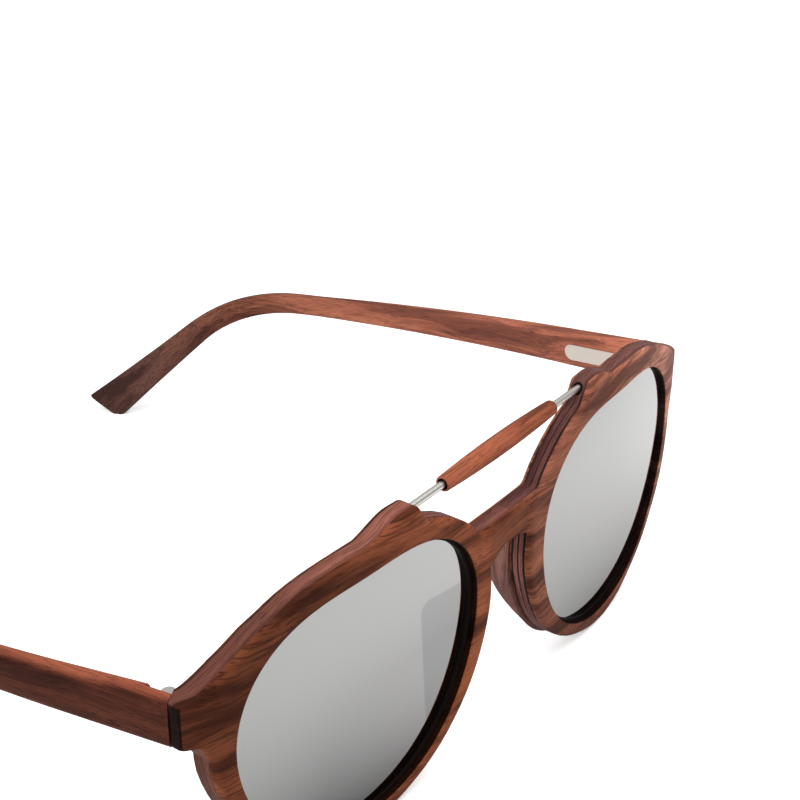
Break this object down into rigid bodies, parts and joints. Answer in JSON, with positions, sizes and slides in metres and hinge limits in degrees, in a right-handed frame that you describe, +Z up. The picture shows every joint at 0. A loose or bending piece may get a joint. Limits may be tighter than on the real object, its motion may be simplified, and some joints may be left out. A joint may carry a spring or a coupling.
{
  "type": "wooden sunglasses",
  "caption": "Folding sunglasses with a laminated wooden front, mirrored round lenses, a metal brow rod with a wooden sleeve, and bent wooden temples on sprung hinges.",
  "frame": {"origin": "on the table, in the middle of the footprint of the open glasses", "axes": "+X towards the wearer's left, the front looks along -Y and the temples run along +Y, +Z up"},
  "size_m": [0.1396, 0.1648, 0.0527],
  "materials": {
    "face_wood": "satin oiled",
    "dark_wood": "satin oiled",
    "core_wood": "satin oiled",
    "pad_wood": "satin oiled",
    "temple_wood": "satin oiled",
    "sleeve_wood": "satin oiled",
    "black_liner": "satin",
    "mirror_lens": "silver mirror coating",
    "rod_steel": "satin",
    "hinge_steel": "nickel plated",
    "screw_steel": "plain",
    "spring_steel": "plain"
  },
  "bodies": {
    "front": {"ply_face": "face_wood", "ply_dark": "dark_wood", "ply_core": "core_wood", "ply_line": "dark_wood", "ply_back": "face_wood", "nose_pad_left": "pad_wood", "nose_pad_right": "pad_wood", "liner_left": "black_liner", "liner_right": "black_liner", "lens_left": "mirror_lens", "lens_right": "mirror_lens", "brow_rod": "rod_steel", "brow_sleeve": "sleeve_wood", "hinge_leaf_left": "hinge_steel", "hinge_leaf_right": "hinge_steel", "leaf_screws": "screw_steel", "hinge_screw_left": "screw_steel", "hinge_screw_right": "screw_steel"},
    "slide_left": {"slider_left": "screw_steel", "spring_nut_left": "screw_steel"},
    "temple_left": {"temple_left": "temple_wood", "hinge_case_left": "hinge_steel", "case_pins_left": "hinge_steel", "spring_left": "spring_steel"},
    "slide_right": {"slider_right": "screw_steel", "spring_nut_right": "screw_steel"},
    "temple_right": {"temple_right": "temple_wood", "hinge_case_right": "hinge_steel", "case_pins_right": "hinge_steel", "spring_right": "spring_steel"}
  },
  "joints": [
    {"name": "fold_left", "type": "hinge", "parent": "front", "child": "slide_left", "pos_m": [0.0634, -0.06759, 0.03667], "axis": [0, 0, 1], "range_deg": [0, 88.3]},
    {"name": "flex_left", "type": "slide", "parent": "slide_left", "child": "temple_left", "axis": [0.0784, 0.9964, -0.0332], "range_m": [0, 0.0015], "stiffness_N_per_m": 1000, "springref_m": -0.003, "deforming": ["spring_left"]},
    {"name": "fold_right", "type": "hinge", "parent": "front", "child": "slide_right", "pos_m": [-0.0634, -0.06759, 0.03667], "axis": [0, 0, -1], "range_deg": [0, 78.5]},
    {"name": "flex_right", "type": "slide", "parent": "slide_right", "child": "temple_right", "axis": [-0.0784, 0.9964, -0.0332], "range_m": [0, 0.0015], "stiffness_N_per_m": 1000, "springref_m": -0.003, "deforming": ["spring_right"]}
  ]
}
